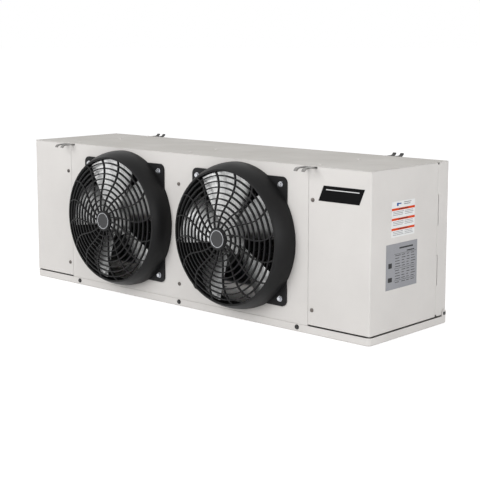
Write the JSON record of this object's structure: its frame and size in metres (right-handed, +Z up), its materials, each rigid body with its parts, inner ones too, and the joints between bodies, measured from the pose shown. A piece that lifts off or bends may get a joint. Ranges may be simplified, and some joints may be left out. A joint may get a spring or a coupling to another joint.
{
  "type": "walk-in unit cooler",
  "caption": "Low-profile ceiling-hung evaporator cooler: two guarded axial fans ahead of a finned coil, in a cabinet with swing-out end covers and a hinged drain pan.",
  "frame": {"origin": "centre of the drain pan's flat underside, under the middle of the cabinet", "axes": "+X along the cabinet to the end with the refrigerant lines, -Y out of the fans, +Z up"},
  "size_m": [1.125, 0.4136, 0.3773],
  "materials": {
    "cabinet_paint": "satin powder coat",
    "galvanised": "galvanised sheet",
    "aluminium_fin": "thin rolled sheet",
    "aluminium_blade": "bright pressed sheet",
    "copper": "drawn copper tube",
    "brass": "machined",
    "guard_plastic": "moulded, satin",
    "badge": "dark disc with a bright rim",
    "zinc": "bright zinc plate",
    "steel": "machined steel",
    "motor_enamel": "black enamel",
    "black_steel": "black coating",
    "rubber": "matt",
    "black_nylon": "matt",
    "terminal_plastic": "matt",
    "name_black": "printed foil",
    "label_white": "printed foil",
    "label_silver": "printed foil"
  },
  "bodies": {
    "cabinet": {"top_panel": "cabinet_paint", "fan_panel": "cabinet_paint", "middle_baffle": "galvanised", "coil_end_plate_left": "galvanised", "coil_end_plate_right": "galvanised", "rear_corner_left": "cabinet_paint", "rear_corner_right": "cabinet_paint", "coil_fins": "aluminium_fin", "coil_tubes": "copper", "return_bends_left": "copper", "return_bends_right": "copper", "suction_header": "copper", "suction_line": "copper", "liquid_line": "copper", "distributor": "brass", "feeder_tubes": "copper", "access_valve": "brass", "pipe_grommets": "rubber", "terminal_box": "galvanised", "terminal_box_lid": "galvanised", "terminal_block": "terminal_plastic", "box_gland": "black_nylon", "power_gland": "black_nylon", "middle_screws": "zinc", "top_rivets": "aluminium_blade", "cover_hinge_pin_left": "steel", "cover_hinge_pin_right": "steel", "pan_hinge_pins": "black_steel", "hanger_front_left": "zinc", "hanger_front_right": "zinc", "hanger_rear_left": "black_steel", "hanger_rear_right": "black_steel", "fan_guard_left": "guard_plastic", "fan_guard_right": "guard_plastic", "guard_badge_left": "badge", "guard_badge_right": "badge", "guard_screws_left": "zinc", "guard_screws_right": "zinc", "motor_body_left": "motor_enamel", "motor_body_right": "motor_enamel", "motor_bracket_left": "black_steel", "motor_bracket_right": "black_steel"},
    "pan": {"drain_pan": "cabinet_paint", "drain_fitting": "black_nylon", "pan_screws": "zinc", "pan_washers": "rubber"},
    "cover_left": {"end_cover_left": "cabinet_paint", "cover_screws_left": "zinc"},
    "cover_right": {"end_cover_right": "cabinet_paint", "cover_screws_right": "zinc", "name_plate": "name_black", "bar_label": "label_white", "data_label": "label_silver"},
    "fan_left": {"fan_blades_left": "aluminium_blade", "fan_hub_left": "steel", "motor_shaft_left": "steel"},
    "fan_right": {"fan_blades_right": "aluminium_blade", "fan_hub_right": "steel", "motor_shaft_right": "steel"}
  },
  "joints": [
    {"name": "fan_left_spin", "type": "hinge", "parent": "cabinet", "child": "fan_left", "pos_m": [-0.2045, -0.145, 0.197], "axis": [0, -1, 0], "continuous": true},
    {"name": "fan_right_spin", "type": "hinge", "parent": "cabinet", "child": "fan_right", "pos_m": [0.1855, -0.145, 0.197], "axis": [0, -1, 0], "continuous": true},
    {"name": "drain_pan_swing", "type": "hinge", "parent": "cabinet", "child": "pan", "pos_m": [0, 0.138, 0.024], "axis": [1, 0, 0], "range_deg": [0, 60]},
    {"name": "left_cover_swing", "type": "hinge", "parent": "cabinet", "child": "cover_left", "pos_m": [-0.5564, 0.1059, 0.2], "axis": [0, 0, -1], "range_deg": [0, 85]},
    {"name": "right_cover_swing", "type": "hinge", "parent": "cabinet", "child": "cover_right", "pos_m": [0.5564, 0.1059, 0.2], "axis": [0, 0, 1], "range_deg": [0, 85]}
  ]
}
